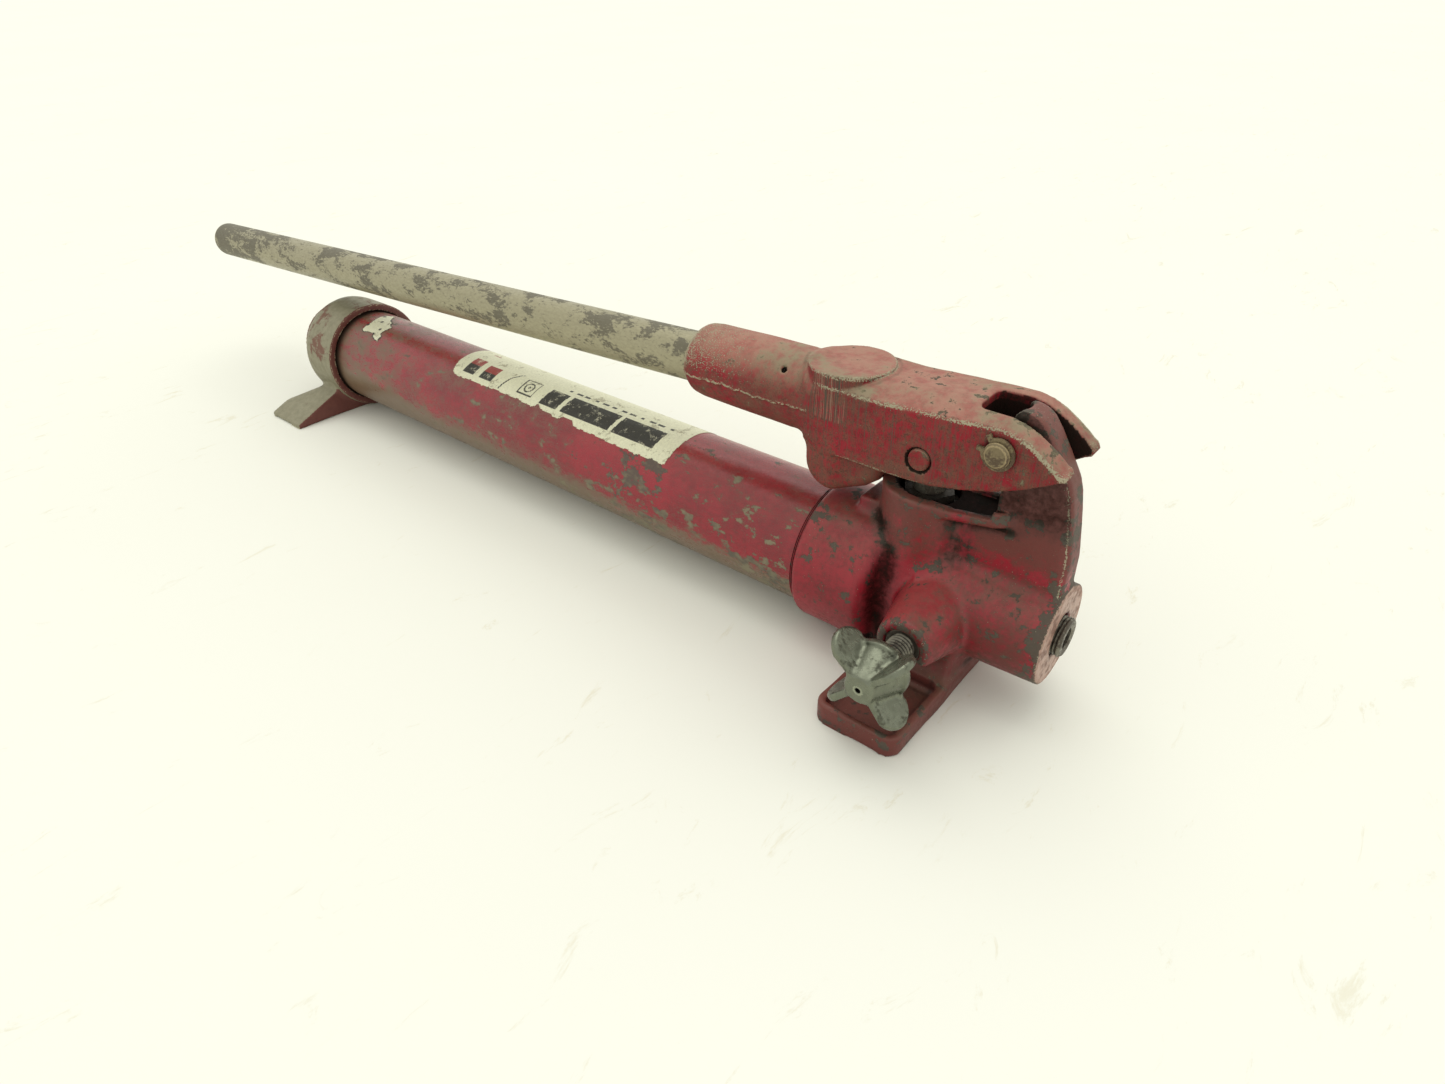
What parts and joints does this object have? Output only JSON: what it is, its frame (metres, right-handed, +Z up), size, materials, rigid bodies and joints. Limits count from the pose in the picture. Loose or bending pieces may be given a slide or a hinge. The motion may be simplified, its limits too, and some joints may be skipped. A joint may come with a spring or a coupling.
{
  "type": "hydraulic hand pump",
  "caption": "Single-speed hydraulic hand pump: cast body with lever and fulcrum lug, tube oil reservoir with footed end cap, winged release valve knob and threaded outlet port.",
  "frame": {"origin": "centre of the front foot's underside, on the surface the pump stands on", "axes": "+X along the reservoir towards the outlet port, +Y away from the release valve knob, +Z up"},
  "size_m": [0.6484, 0.1403, 0.1251],
  "materials": {
    "body_paint": "worn red enamel on cast iron",
    "tube_paint": "worn red enamel on steel tube",
    "beam_paint": "worn red enamel, filed edges",
    "cap_worn": "casting worn to bare metal, traces of red",
    "handle_steel": "bare, stained, patchy",
    "bare_steel": "machined, dull",
    "dark_steel": "blackened",
    "ball_steel": "ground",
    "zinc": "die-cast, dull grey",
    "rubber": "matte",
    "brass": "plain",
    "label": "scuffed printed film"
  },
  "bodies": {
    "base": {"pump_body": "body_paint", "reservoir_tube": "tube_paint", "front_seal_ring": "rubber", "rear_cap": "cap_worn", "rear_gasket": "rubber", "tie_rod": "bare_steel", "tie_rod_nut": "bare_steel", "tie_rod_washer": "bare_steel", "filler_plug": "dark_steel", "filler_gasket": "rubber", "plunger_gland": "dark_steel", "plunger_packing": "rubber", "inlet_ball": "ball_steel", "inlet_retainer": "bare_steel", "intake_strainer": "brass", "discharge_ball": "ball_steel", "discharge_spring": "bare_steel", "discharge_retainer": "bare_steel", "relief_ball": "ball_steel", "relief_spring": "bare_steel", "relief_screw": "dark_steel", "release_packing": "rubber", "outlet_plug": "dark_steel", "reservoir_label": "label", "label_remnant": "label"},
    "lever": {"lever_beam": "beam_paint", "handle_tube": "handle_steel", "handle_set_screw": "dark_steel", "fulcrum_pin": "bare_steel", "fulcrum_rings": "dark_steel", "plunger_pin": "beam_paint"},
    "plunger": {"plunger": "bare_steel"},
    "release_travel": {"release_ball": "ball_steel"},
    "release_valve": {"release_stem": "dark_steel", "release_knob": "zinc", "release_knob_screw": "dark_steel"}
  },
  "joints": [
    {"name": "lever_hinge", "type": "hinge", "parent": "base", "child": "lever", "pos_m": [0.019, 0, 0.1112], "axis": [0, 1, 0], "range_deg": [0, 45]},
    {"name": "plunger_stroke", "type": "slide", "parent": "base", "child": "plunger", "axis": [0, 0, 1], "range_m": [0, 0.0248]},
    {"name": "release_lift", "type": "slide", "parent": "base", "child": "release_travel", "axis": [0, -1, 0], "range_m": [0, 0.00181]},
    {"name": "release_turn", "type": "hinge", "parent": "release_travel", "child": "release_valve", "pos_m": [0.0051, 0, 0.0345], "axis": [0, -1, 0], "range_deg": [0, 360]}
  ],
  "couplings": [
    {"joint": "plunger_stroke", "follows": "lever_hinge", "m_per_rad": 0.03156},
    {"joint": "release_lift", "follows": "release_turn", "m_per_rad": 0.000287}
  ]
}
